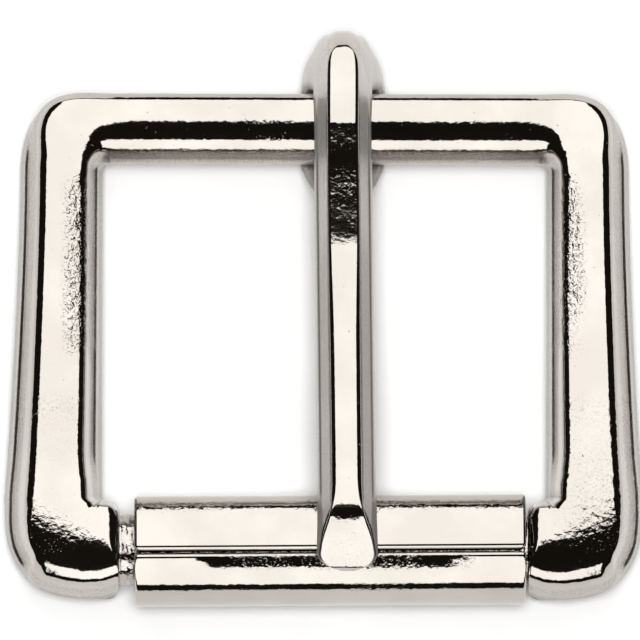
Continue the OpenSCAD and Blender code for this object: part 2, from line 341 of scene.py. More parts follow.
def rounded_polygons(corners, radii):
    """Outlines of many polygons with rounded corners.

    corners is (stations, corners, 2), counter-clockwise. Each corner is cut back by the
    radius times the tangent of half its turn, and an arc of that radius joins the two cuts;
    the straight stretches between arcs get evenly spread points.
    """
    before = corners - np.roll(corners, 1, axis=1)
    after = np.roll(corners, -1, axis=1) - corners
    length_in = np.linalg.norm(before, axis=2)
    length_out = np.linalg.norm(after, axis=2)
    d0 = before / length_in[..., None]
    d1 = after / length_out[..., None]
    turn = np.arctan2(d0[..., 0] * d1[..., 1] - d0[..., 1] * d1[..., 0], (d0 * d1).sum(2))
    room = ARC_ROOM * np.minimum(length_in, length_out)
    widest = room / np.maximum(np.tan(np.abs(turn) / 2), 1e-6)
    radii = np.minimum(radii, widest) * np.sign(turn)
    cut = radii * np.tan(turn / 2)
    start = corners - cut[..., None] * d0
    inward = np.stack([-d0[..., 1], d0[..., 0]], axis=2)
    centre = start + radii[..., None] * inward
    share = np.linspace(0, 1, ARC_POINTS)
    angle = turn[..., None] * share
    spoke = -inward[:, :, None, :]
    arc = np.stack([
        spoke[..., 0] * np.cos(angle) - spoke[..., 1] * np.sin(angle),
        spoke[..., 0] * np.sin(angle) + spoke[..., 1] * np.cos(angle),
    ], axis=3)
    arc = centre[:, :, None, :] + radii[..., None, None] * arc
    leave = arc[:, :, -1:, :]
    arrive = np.roll(arc[:, :, :1, :], -1, axis=1)
    share = np.linspace(0, 1, EDGE_POINTS + 2)[1:-1][None, None, :, None]
    edge = leave + (arrive - leave) * share
    outline = np.concatenate([arc, edge], axis=2)
    return outline.reshape(len(corners), -1, 2)


def evenly_spaced(outlines, count):
    """Resamples closed outlines to a count of points, evenly spaced but denser towards the front."""
    closed = np.concatenate([outlines, outlines[:, :1]], axis=1)
    middle = (closed[:, 1:, 1] + closed[:, :-1, 1]) / 2
    front = middle > FRONT_FROM * outlines[..., 1].max(axis=1)[:, None]
    steps = np.linalg.norm(np.diff(closed, axis=1), axis=2) * np.where(front, FRONT_DENSITY, 1)
    run = np.concatenate([np.zeros((len(closed), 1)), np.cumsum(steps, axis=1)], axis=1)
    run /= run[:, -1:]
    share = np.arange(count) / count
    return np.stack([
        np.stack([np.interp(share, r, c[:, 0]), np.interp(share, r, c[:, 1])], axis=1)
        for r, c in zip(run, closed)
    ])


def swept_mesh(name, grid, joined=False):
    """A mesh from a grid of rings (rings, points, 3) in millimetres.

    Each ring is closed. The last ring is joined to the first, or else both get a flat cap.
    The faces look outwards: where the enclosed volume comes out negative, all are turned.
    """
    rings, count = grid.shape[:2]
    index = np.arange(rings * count).reshape(rings, count)
    here = index if joined else index[:-1]
    following = np.roll(index, -1, axis=0) if joined else index[1:]
    quads = np.stack([
        here, np.roll(here, -1, axis=1), np.roll(following, -1, axis=1), following,
    ], axis=2).reshape(-1, 4)
    faces = quads.tolist()
    if not joined:
        faces += [index[0][::-1].tolist(), index[-1].tolist()]
    points = grid.reshape(-1, 3)
    a, b, c, d = np.moveaxis(points[quads], 1, 0)
    volume = (a * np.cross(b, c)).sum() + (a * np.cross(c, d)).sum()
    if volume < 0:
        faces = [face[::-1] for face in faces]
    mesh = bpy.data.meshes.new(name)
    mesh.from_pydata((points * MM).tolist(), [], faces)
    mesh.shade_smooth()
    piece = bpy.data.objects.new(name, mesh)
    bpy.context.collection.objects.link(piece)
    return piece


def stations(count, **columns):
    """A block of frame stations, one to a ring: each column is a number or an array of that count.

    x and y are where the inner wall stands, heading is the way outwards from it in
    radians, back and front are heights, round is the share of a plain ellipse, and the
    rest are shares of the sections.
    """
    names = (
        "x", "y", "heading", "width", "back", "front", "round",
        "heel", "corner", "bend", "upper", "diagonal", "elbow",
    )
    values = [np.asarray(columns.get(name, 0.0), float) for name in names]
    return np.stack([np.broadcast_to(value, (count,)) for value in values], axis=1)


def fullness(heading):
    """Extra width round a corner: the squared sine of twice the heading."""
    return np.sin(2 * heading) ** 2


# Half of the heel bar, from the middle outwards
t = np.linspace(0, 1, HEEL_RINGS)[:-1]
into_corner = CORNER_BEGUN * ease(t, CORNER_START, 1)
heel_bar = stations(
    len(t), x=t * (WINDOW_X - HEEL_FILLET), y=HEEL_Y - HEEL_R, heading=np.pi / 2,
    width=2 * HEEL_R, back=HEEL_Z - HEEL_R, front=HEEL_Z + HEEL_R,
    heel=1 - into_corner, corner=into_corner,
)
# Round the heel corner
t = np.linspace(0, 1, TURN_RINGS)[:-1]
heading = np.pi / 2 * (1 - t)
into_corner = CORNER_BEGUN + (1 - CORNER_BEGUN) * ease(t, 0, CORNER_FULL)
into_bend = ease(t, BEND_START, BEND_FULL)
heel_corner = stations(
    len(t),
    x=WINDOW_X - HEEL_FILLET + HEEL_FILLET * np.cos(heading),
    y=HEEL_Y - HEEL_R - HEEL_FILLET + HEEL_FILLET * np.sin(heading),
    heading=heading,
    width=2 * HEEL_R + (SIDE_W - 2 * HEEL_R) * ease(t) + SIDE_EXTRA * fullness(heading),
    back=(HEEL_Z - HEEL_R) * (1 - ease(t, 0, BACK_FULL)),
    front=HEEL_Z + HEEL_R + (HEEL_FRONT - HEEL_Z - HEEL_R) * ease(t),
    heel=1 - into_corner,
    corner=into_corner - into_bend,
    bend=into_bend,
)
# Down the side bar, wider and thicker towards the elbow
t = np.linspace(0, 1, SIDE_RINGS)[:-1]
top = HEEL_Y - HEEL_R - HEEL_FILLET
bottom = AXLE_Y + ELBOW_W / 2 + ELBOW_FILLET
into_upper = ease(t, 0, UPPER_FULL)
side_bar = stations(
    len(t), x=WINDOW_X, y=top + (bottom - top) * t, heading=0,
    width=SIDE_W + (ELBOW_W - SIDE_W) * t ** FLARE,
    back=BACK_ARCH * np.sin(np.pi * t) ** 2,
    front=HEEL_FRONT + (ELBOW_H - HEEL_FRONT) * t ** FLARE,
    bend=1 - into_upper,
    upper=into_upper - ease(t, SIDE_START, SIDE_FULL),
    diagonal=DIAGONAL_BEGUN * ease(t, DIAGONAL_START, 1),
)
# Round the elbow
t = np.linspace(0, 1, TURN_RINGS)[:-1]
heading = -np.pi / 2 * t
into_elbow = ease(t, ELBOW_START, ELBOW_FULL)
elbow = stations(
    len(t),
    x=WINDOW_X - ELBOW_FILLET + ELBOW_FILLET * np.cos(heading),
    y=bottom + ELBOW_FILLET * np.sin(heading),
    heading=heading,
    width=ELBOW_W + ELBOW_EXTRA * fullness(heading),
    front=ELBOW_H,
    diagonal=DIAGONAL_BEGUN + (1 - DIAGONAL_BEGUN) * ease(t, 0, DIAGONAL_FULL) - into_elbow,
    elbow=into_elbow,
)
# The knob's rounded end, which faces the roller
t = np.linspace(0, 1, KNOB_RINGS)
turn = t * np.pi / 2
inset = KNOB_ROUND * (1 - np.cos(turn))
front_inset = KNOB_FRONT_ROUND * (1 - np.cos(turn))
knob = stations(
    len(t),
    x=KNOB_FACE + KNOB_ROUND * (1 - np.sin(turn)),
    y=AXLE_Y + ELBOW_W / 2 - inset,
    heading=-np.pi / 2,
    width=ELBOW_W - 2 * inset,
    back=(AXLE_Z - ELBOW_W / 2) * t + front_inset,
    front=ELBOW_H - front_inset,
    elbow=1,
)
# From the knob's face in to the axle bar
t = np.linspace(0, 1, NECK_RINGS)[1:]
end_x, end_y, _, end_width, end_back, end_front = knob[-1, :6]
neck = stations(
    len(t),
    x=end_x - NECK_STEP * t,
    y=end_y + (AXLE_Y + AXLE_R - end_y) * t,
    heading=-np.pi / 2,
    width=end_width + (2 * AXLE_R - end_width) * t,
    back=end_back + (AXLE_Z - AXLE_R - end_back) * t,
    front=end_front + (AXLE_Z + AXLE_R - end_front) * t,
    elbow=1,
    round=t,
)
# Half of the axle bar, with close rings on the bare neck only
bare = np.linspace(end_x - NECK_STEP, NECK_END, BARE_RINGS)[1:]
places = np.concatenate([bare, [NECK_END / 2, 0]])
axle = stations(
    len(places), x=places, y=AXLE_Y + AXLE_R, heading=-np.pi / 2,
    width=2 * AXLE_R, back=AXLE_Z - AXLE_R, front=AXLE_Z + AXLE_R, round=1, elbow=1,
)
path = np.concatenate([heel_bar, heel_corner, side_bar, elbow, knob, neck, axle])


def elbow_fall(x, y):
    """How far the elbow's front lies below its full height.

    It is the integral of a slope that changes evenly from each mark to the next and stays
    the same past the last one: low times the run gone, plus half the change of slope
    times the run gone squared over the whole run.
    """
    marks = [np.interp(x, ELBOW_FALL[:, 0], column) for column in ELBOW_FALL[:, 1:].T]
    fall = np.zeros_like(y)
    for near, far, low, high in zip(marks, marks[1:], FALL_SLOPES, FALL_SLOPES[1:]):
        run = near - far
        gone = np.clip(near - y, 0, run)
        fall += low * gone + (high - low) * gone ** 2 / (2 * run)
    return fall + FALL_SLOPES[-1] * np.maximum(marks[-1] - y, 0)


def neck_lumps(rings):
    """Roughens the bare neck of the axle bar: its radius follows a sum of sine waves."""
    x, y, z = np.moveaxis(rings, 2, 0)
    angle = np.arctan2(z - AXLE_Z, y - AXLE_Y)
    wave = sum(
        size * np.sin(along * x + around * angle + phase)
        for size, along, around, phase in LUMP_WAVES
    )
    bare = ease(x, NECK_END, NECK_END + LUMP_FADE_IN) * (y < 0)
    bare = bare * (1 - ease(x, KNOB_FACE - LUMP_FADE_OUT, KNOB_FACE))
    lift = 1 + NECK_LUMP / AXLE_R * (wave * LUMP_GAIN - LUMP_DROP) * bare
    return np.stack([x, AXLE_Y + (y - AXLE_Y) * lift, AXLE_Z + (z - AXLE_Z) * lift], axis=2)


def frame_rings(path):
    """Carries the blended, rounded sections along the stations of one side of the frame.

    The side's section takes the share that the others leave. The round share then moves
    each point towards the ellipse that fills the section's width and height.
    """
    start_x, start_y, heading, width, back, front, round_share = path.T[:7, :, None]
    shares = path[:, 7:]
    side = 1 - shares.sum(axis=1, keepdims=True)
    blend = np.tensordot(np.concatenate([shares, side], axis=1), SECTIONS, axes=1)
    size = np.stack([width, front - back], axis=2)
    outline = rounded_polygons(blend[..., :2] * size, blend[..., 2])
    outline = evenly_spaced(outline, RING_POINTS)
    middle = size / 2
    aside, up = np.moveaxis(outline - middle, 2, 0)
    angle = np.arctan2(up, aside)
    circle = middle + middle * np.stack([np.cos(angle), np.sin(angle)], axis=2)
    outline = outline + (circle - outline) * round_share[..., None]
    x = start_x + outline[..., 0] * np.cos(heading)
    y = start_y + outline[..., 0] * np.sin(heading)
    z = back + outline[..., 1]
    z = np.minimum(z, np.where(x > NECK_END, ELBOW_H - elbow_fall(x, y), z))
    return np.stack([x, y, z], axis=2)


right = neck_lumps(frame_rings(path))
left = right[::-1] * np.array([-1, 1, 1])
casting = swept_mesh("frame_casting", np.concatenate([right, left[1:-1]]), joined=True)
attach(casting, "frame")
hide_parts("frame")


# The plate of all three pieces. Its noises, in waves to the metre
PATCH_SCALE = 170.0
STAIN_SCALE = 240.0
RIPPLE_SCALE = 650.0
PEEL_SCALE = 3000.0
SPECK_SCALE = 4200.0
GRAIN_SCALE = 7600.0
# Between which values of their noise the grainy patches, the worn ones, the pits, the
# grains' colour, the dents and the stains come in, how much of the skin's unevenness the
# worn patches and dull metal have, and how much of the grains' colour
PATCHES = (0.30, 0.55)
WORN = (0.55, 0.75)
PITS = (0.72, 0.80)
GRAINS = (0.40, 0.64)
DENTS = (0.58, 0.70)
STAINS = (0.35, 0.70)
WORN_SKIN = 0.25
DULL_SKIN = 0.8
ROUGH_GRAIN = 0.45
DULL_GRAIN = 0.75
# Heights in micrometres: the ripples, the orange peel that unpolished and grainy skin
# add to the plate's own, the grains and the dents between them, and the least pit
RIPPLE_HEIGHT = 14.0
SKIN_PEEL = 15.0
GRAINY_PEEL = 35.0
GRAIN_HEIGHT = 5.0
DENT_DEPTH = 5.0
PIT_DEPTH = 4.0
# Roughness of polished plate, and what stains and pits add to it
POLISHED = 0.03
STAIN_ROUGHNESS = 0.05
PIT_ROUGHNESS = 0.15
PLATE = (0.522, 0.489, 0.450, 1)
PLATE_STAINED = (0.470, 0.438, 0.400, 1)
PLATE_GRAIN = (0.340, 0.317, 0.289, 1)
PLATE_SCATTER = (0.720, 0.685, 0.640, 1)
PLATE_PIT = (0.36, 0.33, 0.29, 1)
# Near-black for painted shade on the frame and the tongue, and for grime down in the roller's seam
PAINTED_SHADE_AND_GRIME = (0.030, 0.026, 0.022, 1)
MICROMETRE = 0.001 * MM
# The place of the object coordinates among the outputs of their node
OBJECT_COORDINATES = 3


def nickel(name, as_cast, coarse, shade_and_grime, dullness, haze, peel, pit_share):
    """Bright nickel plate: a warm metal with slow ripples, a fine orange peel, grains and small pits.

    as_cast, coarse and the third function take the three coordinates in millimetres. They give how
    much of the polish is missing, how grainy the skin is, and how much painted shade and grime
    darken the colour. dullness is the roughness of unpolished metal and haze how much of the light
    it scatters. peel is a height in micrometres, and pit_share how much of the surface is pitted.
    """
    material = bpy.data.materials.new(name)
    tree = new_tree(material)
    place = tree.node("ShaderNodeTexCoord", output=OBJECT_COORDINATES)

    def noise(scale, detail):
        inputs = {"Vector": place, "Scale": scale, "Detail": detail}
        return tree.node("ShaderNodeTexNoise", inputs=inputs)

    x, y, z = [axis / MM for axis in place.axes()]
    patch = noise(PATCH_SCALE, 1.0)
    stain = noise(STAIN_SCALE, 4.0)
    grain = noise(GRAIN_SCALE, 1.5)
    dull = as_cast(x, y, z)
    rough = coarse(x, y, z) * patch.step(*PATCHES)
    skin = rough + WORN_SKIN * patch.step(*WORN) + DULL_SKIN * dull
    pits = (noise(SPECK_SCALE, 3.0) + pit_share).step(*PITS)
    peel_height = peel + SKIN_PEEL * skin + GRAINY_PEEL * rough
    bumps = (grain * GRAIN_HEIGHT - grain.step(*DENTS) * DENT_DEPTH) * skin
    height = noise(RIPPLE_SCALE, 2.0) * RIPPLE_HEIGHT + noise(PEEL_SCALE, 2.0) * peel_height
    height = height + bumps - pits * (2 * peel + PIT_DEPTH)
    normal = tree.node(
        "ShaderNodeBump", inputs={"Strength": 1.0, "Distance": MICROMETRE, "Height": height},
    )
    grainy = grain.step(*GRAINS) * (ROUGH_GRAIN * rough + DULL_GRAIN * dull)
    colour = stain.step(*STAINS).mix(PLATE_STAINED, PLATE)
    colour = grainy.mix(colour, PLATE_GRAIN)
    colour = (dull * haze).mix(colour, PLATE_SCATTER)
    colour = pits.mix(colour, PLATE_PIT)
    # Painted shade, and grime in the roller's seam, darken the colour towards near-black
    colour = shade_and_grime(x, y, z).mix(colour, PAINTED_SHADE_AND_GRIME)
    gloss = POLISHED + STAIN_ROUGHNESS * stain + PIT_ROUGHNESS * pits + dullness * dull
    metal = tree.node("ShaderNodeBsdfPrincipled", inputs={
        "Base Color": colour, "Metallic": 1 - dull * haze, "Roughness": gloss, "Normal": normal,
    })
    tree.node("ShaderNodeOutputMaterial", inputs={"Surface": metal})
    return material


# Where the masks of the frame's plate lie, in millimetres. A name ends in its direction:
# up, out from the middle, or along the strap towards the heel bar. A pair is where a step
# starts and ends, and three numbers are a band's two ends and how soft they are
WALL_UP = (4.3, 4.9)
SCUFF_OUT = (13.5, 15.2, 0.4)
SCUFF_ALONG = (-2.0, 8.0, 1.0)
GRAINY_OUT = (12.6, 15.4)
GRAINY_ALONG = (-13.7, -4.5, 0.5)
NECK_OUT = (12.0, 12.1)
HIDDEN_OUT = (10.8, 11.4)
AXLE_ALONG = (-9.0, -8.0)
LOW_WALL_UP = (2.5, 3.1)
LOW_WALL_OUT = (12.0, 12.4)
# How strong the grainy masks and the painted shade are
SCUFF_GRAIN = 1.3
ELBOW_GRAIN = 0.6
NECK_GRAIN = 0.9
# Strength of the painted shade on the axle under the roller and on the walls near the table
HIDDEN_AXLE_SHADE = 0.6
LOW_WALL_SHADE = 0.28


def frame_as_cast(x, y, z):
    """The walls below the front's edges keep the dull skin of the mould."""
    return 1 - z.step(*WALL_UP)


def frame_coarse(x, y, z):
    """Grainy skin on the inner half of each side bar, on the elbows and on the bare neck."""
    outward = x.math("ABSOLUTE", x)
    inner = outward.band(*SCUFF_OUT) * y.band(*SCUFF_ALONG) * SCUFF_GRAIN
    elbows = outward.step(*GRAINY_OUT) * y.band(*GRAINY_ALONG) * ELBOW_GRAIN
    neck = (1 - outward.step(*NECK_OUT)) * (1 - y.step(*AXLE_ALONG)) * NECK_GRAIN
    return inner + elbows + neck


def frame_painted_shade(x, y, z):
    """Painted shade on the axle bar where the roller hides it, and a little painted shade darkening the
    lower half of the walls.
    """
    outward = x.math("ABSOLUTE", x)
    hidden = (1 - outward.step(*HIDDEN_OUT)) * (1 - y.step(*AXLE_ALONG)) * HIDDEN_AXLE_SHADE
    return hidden + (1 - z.step(*LOW_WALL_UP)) * outward.step(*LOW_WALL_OUT) * LOW_WALL_SHADE


cast_nickel = nickel(
    "cast_nickel", frame_as_cast, frame_coarse, frame_painted_shade,
    dullness=0.26, haze=0.0, peel=8.0, pit_share=-0.01,
)
casting.data.materials.append(cast_nickel)


# Tongue: one cast prong with a flat front and sloping sides, nickel-plated.
# Its end is bent round the heel bar into a closed loop, with a wider flattened
# tail behind the bar, and its tip is ground to a slanted flat.
EYE_R = 2.28
SHANK_W = 3.45
SHANK_T = 2.3
CROWN_T = 2.5
LOOP_T = 3.45
TAIL_T = 0.95
TAIL_W = 5.1
TAIL_LIFT = 1.6
TIP_REACH = 1.25
FACET_LEN = 3.65
TIP_W = 3.6
TIP_T = 0.65
TIP_ROUND = 1.1
TONGUE_X = 1.05
TIP_DRIFT = 0.35
TONGUE_LEN = BAR_SPAN + TIP_REACH
SHANK_UNDER = 6.63
CROWN_UNDER = HEEL_Z + EYE_R
# Corners of the right half of a section, from the underside up, as shares of half the
# width and of the thickness, and radii in mm: beside the heel bar, then further along
FOOT_SECTION = np.array([
    [0.90, 0.00, 0.35], [1.00, 0.16, 0.40], [0.93, 0.425, 0.07], [0.86, 0.455, 0.07], [0.52, 1.00, 0.30],
])
SHANK_SECTION = np.array([
    [0.90, 0.00, 0.35], [1.00, 0.16, 0.40], [0.93, 0.425, 0.07], [0.85, 0.455, 0.07], [0.46, 1.00, 0.40],
])
# The same corners where the loop turns over behind the heel bar
CROWN_SECTION = np.array([
    [0.90, 0.00, 0.35], [1.00, 0.16, 0.60], [0.96, 0.46, 1.00], [0.60, 0.88, 1.00], [0.20, 1.00, 0.70],
])
# The same corners at the tip, where the sides bulge and the edges are rubbed round
TIP_SECTION = np.array([
    [0.90, 0.00, 0.35], [1.00, 0.12, 0.30], [0.90, 0.42, 0.30], [0.81, 0.66, 0.80], [0.51, 1.00, 0.30],
])
# Turn round the bar in degrees, thickness, width, how far the inner face stands off
# the eye, and the share of the crown's section
LOOP_ROWS = np.array([
    [-201, 0.52, 2.2, TAIL_LIFT, 0],
    [-198, 0.86, 2.6, 0.97 * TAIL_LIFT, 0],
    [-192, 1.19, 3.0, 0.85 * TAIL_LIFT, 0],
    [-183, 1.38, 3.5, 0.65 * TAIL_LIFT, 0],
    [-170, 1.43, 4.1, 0.40 * TAIL_LIFT, 0],
    [-160, 1.38, 4.5, 0.22 * TAIL_LIFT, 0],
    [-148, 1.28, 4.9, 0.08 * TAIL_LIFT, 0],
    [-133, 1.15, TAIL_W, 0, 0],
    [-110, 1.03, TAIL_W + 0.1, 0, 0],
    [-85, TAIL_T, TAIL_W, 0, 0.3],
    [-60, 1.25, TAIL_W, 0, 0.8],
    [-30, 2.70, 4.98, 0, 1],
    [0, LOOP_T, 4.45, 0, 1],
    [12, 3.60, 4.15, 0, 1],
    [24, 3.80, 3.75, 0, 1],
    [32, 3.88, 3.55, 0, 0.95],
    [38, 3.88, 3.45, 0, 0.65],
    [43, 3.80, 3.44, 0, 0.25],
    [49, 3.64, 3.44, 0, 0.04],
    [62, 3.16, 3.44, 0, 0],
    [75, 2.68, 3.40, 0, 0],
    [90, CROWN_T, 3.36, 0, 0],
])
# Share of the way to the tip, height of the underside, thickness and width
SHANK_ROWS = np.array([
    [0.00, CROWN_UNDER, CROWN_T, 3.36],
    [0.05, 5.42, 2.49, 3.38],
    [0.10, 5.28, 2.43, 3.42],
    [0.20, 5.22, 2.22, SHANK_W],
    [0.28, 5.28, 1.98, SHANK_W],
    [0.33, 5.40, 1.90, SHANK_W],
    [0.50, 5.84, 2.00, SHANK_W],
    [0.70, 6.28, 2.22, SHANK_W],
    [0.88, 6.58, SHANK_T, 3.52],
    [0.95, SHANK_UNDER, SHANK_T, TIP_W],
    [1.00, SHANK_UNDER, SHANK_T, TIP_W],
])
# Shares of the way to the tip where the foot's section gives way to the shank's, and
# the shank's to the tip's
FOOT_END = 0.20
SHANK_FULL = 0.50
TIP_START = 0.80
TIP_FULL = 0.88
# Over how much height the front and the sides round into the slanted flat, and the
# rounding at the very tip
FACET_BLEND = 0.17
FACET_SIDE_BLEND = 0.05
TIP_EDGE = 0.35
# Between which shares of half the width the front's blend gives way to the sides'
FRONT_HALF = 0.35
SIDE_HALF = 0.60
# The least share of its width that the tip's last ring keeps
TIP_LEAST = 0.25
# Rings along the loop, the shank up to FACET_FROM, the facet and the round tip, and
# points round a ring
LOOP_RINGS = 260
SHANK_RINGS = 150
FACET_FROM = 0.82
FACET_RINGS = 60
TIP_RINGS = 26
PRONG_POINTS = 130


def both_sides(right):
    """All the corners of a section from those of its right half, the lowest left one first."""
    left = right[::-1] * np.array([-1, 1, 1])
    return np.roll(np.concatenate([right, left]), 1, axis=0)


PRONG_SECTIONS = np.stack([
    both_sides(CROWN_SECTION), both_sides(FOOT_SECTION),
    both_sides(SHANK_SECTION), both_sides(TIP_SECTION),
])


def smooth_rows(rows, x):
    """Every column of a table at x, on cubic curves whose slopes join each row's neighbours."""
    key = rows[:, 0]
    before = np.maximum(np.arange(len(key)) - 1, 0)
    after = np.minimum(np.arange(len(key)) + 1, len(key) - 1)
    slope = (rows[after] - rows[before]) / (key[after] - key[before])[:, None]
    k = np.clip(np.searchsorted(key, x) - 1, 0, len(key) - 2)
    step = (key[k + 1] - key[k])[:, None]
    t = (x[:, None] - key[k][:, None]) / step
    return (
        rows[k] * (1 + 2 * t) * (1 - t) ** 2 + slope[k] * step * t * (1 - t) ** 2
        + rows[k + 1] * t * t * (3 - 2 * t) - slope[k + 1] * step * t * t * (1 - t)
    )


def soft_min(a, b, soft):
    """The lesser of a and b, rounded where they cross.

    It is minus soft times the logarithm of e to the (-a / soft) plus e to the (-b / soft).
    """
    low = np.minimum(a, b)
    return low - soft * np.log1p(np.exp(-np.abs(a - b) / soft))


def tongue_outlines(half, thick, shares):
    """The tongue's rounded sections, from half widths, thicknesses and shares of PRONG_SECTIONS."""
    section = np.tensordot(np.stack(shares, axis=1), PRONG_SECTIONS, axes=1)
    corners = section[..., :2] * np.stack([half, thick], axis=1)[:, None, :]
    return evenly_spaced(rounded_polygons(corners, section[..., 2]), PRONG_POINTS)


# The loop, round the heel bar from the tail's end to the crown
turn, thickness, width, stand_off, crown = smooth_rows(
    LOOP_ROWS, np.linspace(LOOP_ROWS[0, 0], LOOP_ROWS[-1, 0], LOOP_RINGS),
).T
crown = np.clip(crown, 0, 1)
none = np.zeros_like(crown)
outline = tongue_outlines(width / 2, thickness, [crown, 1 - crown, none, none])
radius = EYE_R + np.maximum(stand_off, 0)[:, None] + outline[..., 1]
turn = np.radians(turn)[:, None]
loop = np.stack([
    TONGUE_X + outline[..., 0],
    HEEL_Y + radius * np.cos(turn),
    HEEL_Z + radius * np.sin(turn),
], axis=2)
# The shank, along the strap from the crown to the tip
tip_from = 1 - TIP_ROUND / TONGUE_LEN
quarter = np.linspace(0, np.pi / 2, TIP_RINGS)[1:]
travel = np.concatenate([
    np.linspace(0, FACET_FROM, SHANK_RINGS)[1:],
    np.linspace(FACET_FROM, tip_from, FACET_RINGS)[1:],
    1 - (1 - tip_from) * (1 - np.sin(quarter)),
])
_, under, thickness, width = smooth_rows(SHANK_ROWS, travel).T
to_go = (1 - travel) * TONGUE_LEN
into_round = 1 - np.clip(to_go / TIP_ROUND, 0, 1)
half = width / 2 * np.maximum(np.sqrt(1 - into_round ** 2), TIP_LEAST)
past_foot = ease(travel, FOOT_END, SHANK_FULL)
tip = ease(travel, TIP_START, TIP_FULL)
none = np.zeros_like(tip)
outline = tongue_outlines(half, thickness, [none, 1 - past_foot, past_foot - tip, tip])
into_edge = np.clip(1 - to_go / TIP_EDGE, 0, 1)
facet = SHANK_UNDER + TIP_T + (SHANK_T - TIP_T) * to_go / FACET_LEN
facet = facet - TIP_EDGE * (1 - np.sqrt(1 - into_edge ** 2))
aside = ease(np.abs(outline[..., 0]) / half[:, None], FRONT_HALF, SIDE_HALF)
blend = FACET_BLEND + (FACET_SIDE_BLEND - FACET_BLEND) * aside
shank = np.stack([
    TONGUE_X + TIP_DRIFT * travel[:, None] + outline[..., 0],
    np.broadcast_to((HEEL_Y - travel * TONGUE_LEN)[:, None], outline.shape[:2]),
    soft_min(under[:, None] + outline[..., 1], facet[:, None], blend),
], axis=2)
prong = swept_mesh("tongue_prong", np.concatenate([loop, shank]))
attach(prong, "tongue")
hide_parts("tongue")


# Where the masks of the tongue's plate lie, in millimetres: up, along the strap, out from
# the tongue's middle line or from the eye, ahead of the heel bar and above the slanted flat
SLOPE_OUT = (0.82, 1.05)
TIP_AHEAD = (21.7, 22.7)
OVER_FLAT = (-0.35, -0.15)
CAST_UP = (1.5, 2.5)
DIP_ALONG = (7.0, 10.2, 0.8)
TIP_ALONG = (-13.0, -11.0)
EYE_OUT = (0.02, 0.12)
LEDGE_OUT = (1.46, 1.55, 0.05)
LEDGE_AHEAD = (-1.0, 22.0, 0.8)
LEDGE_UP = (4.0, 4.5)
# How strong the grainy masks and the painted shade are
DIP_GRAIN = 0.2
TIP_GRAIN = 0.2
# Strength of the painted shade inside the eye and of the painted shade line along each side's ledge
EYE_SHADE = 0.7
LEDGE_SHADE = 0.75


def from_middle(x, y):
    """How far aside from the tongue's middle line, and how far ahead of the heel bar's axis."""
    ahead = HEEL_Y - y
    drift = ahead.math("MAXIMUM", ahead, 0.0) * (TIP_DRIFT / TONGUE_LEN)
    aside = x - TONGUE_X - drift
    return aside.math("ABSOLUTE", aside), ahead


def from_axis(y, z, axis_y, axis_z):
    """Distance from an axis that runs across the strap: the root of the summed squares."""
    out = y - axis_y
    up = z - axis_z
    return up.math("SQRT", up * up + out * out)


def tongue_as_cast(x, y, z):
    """The sloping sides keep the dull skin of the mould, and so does all below the slanted flat."""
    outward, ahead = from_middle(x, y)
    flat = (TONGUE_LEN - ahead) * ((SHANK_T - TIP_T) / FACET_LEN) + (SHANK_UNDER + TIP_T)
    below = 1 - (z - flat).step(*OVER_FLAT)
    at_tip = ahead.step(*TIP_AHEAD)
    return (outward.step(*SLOPE_OUT) * (1 - at_tip) + below * at_tip) * z.step(*CAST_UP)


def tongue_coarse(x, y, z):
    """Grainy skin where the front dips between the heel bar and the middle, and at the tip."""
    return y.band(*DIP_ALONG) * DIP_GRAIN + (1 - y.step(*TIP_ALONG)) * TIP_GRAIN


def tongue_painted_shade(x, y, z):
    """Painted shade inside the eye, where the loop turns on the heel bar, and a thin line of painted
    shade in the ledge along each side.
    """
    eye = 1 - (from_axis(y, z, HEEL_Y, HEEL_Z) - EYE_R).step(*EYE_OUT)
    outward, ahead = from_middle(x, y)
    ledge = outward.band(*LEDGE_OUT) * ahead.band(*LEDGE_AHEAD) * z.step(*LEDGE_UP)
    return eye * EYE_SHADE + ledge * LEDGE_SHADE


prong_nickel = nickel(
    "prong_nickel", tongue_as_cast, tongue_coarse, tongue_painted_shade,
    dullness=0.26, haze=0.52, peel=6.0, pit_share=0.0,
)
prong.data.materials.append(prong_nickel)


# Roller: a strip of steel sheet rolled into a tube and nickel-plated.
# It is loose on the axle bar, lies a little askew, and its butt seam is on top.
ROLLER_R = 3.25
ROLLER_WALL = 0.9
ROLLER_LEN = 22.8
ROLLER_X = 0.385
ROLLER_SKEW = np.radians(0.5)
SEAM_TURN = 0.05
SEAM_GAP = 0.10
NEAR_LIP = 0.15
FAR_LIP = 0.46
LIP_POINTS = 12
END_ROUND = 0.18
# The flat beside the seam, towards the roller's ends: where it starts from the top, its
# slope, between which places along the roller it fades in, and how far clear of the round
# sheet it stays in the middle
FLAT_START = 0.42
FLAT_SLOPE = 0.375
FLAT_FROM = 6.3
FLAT_FULL = 7.6
FLAT_CLEAR = 0.13
# The flatter stretch on the seam's far side: how far it stands out from the round, and
# where it begins, is highest and ends, in radians from the top
FAR_RISE = 0.20
FAR_START = 0.25
FAR_TOP = 1.05
FAR_END = 1.50
# Rings round the roll between the lips, points along the sheet's faces and round an end's corner
ROLLER_RINGS = 340
SHEET_LONG_POINTS = 50
SHEET_CORNER_POINTS = 7


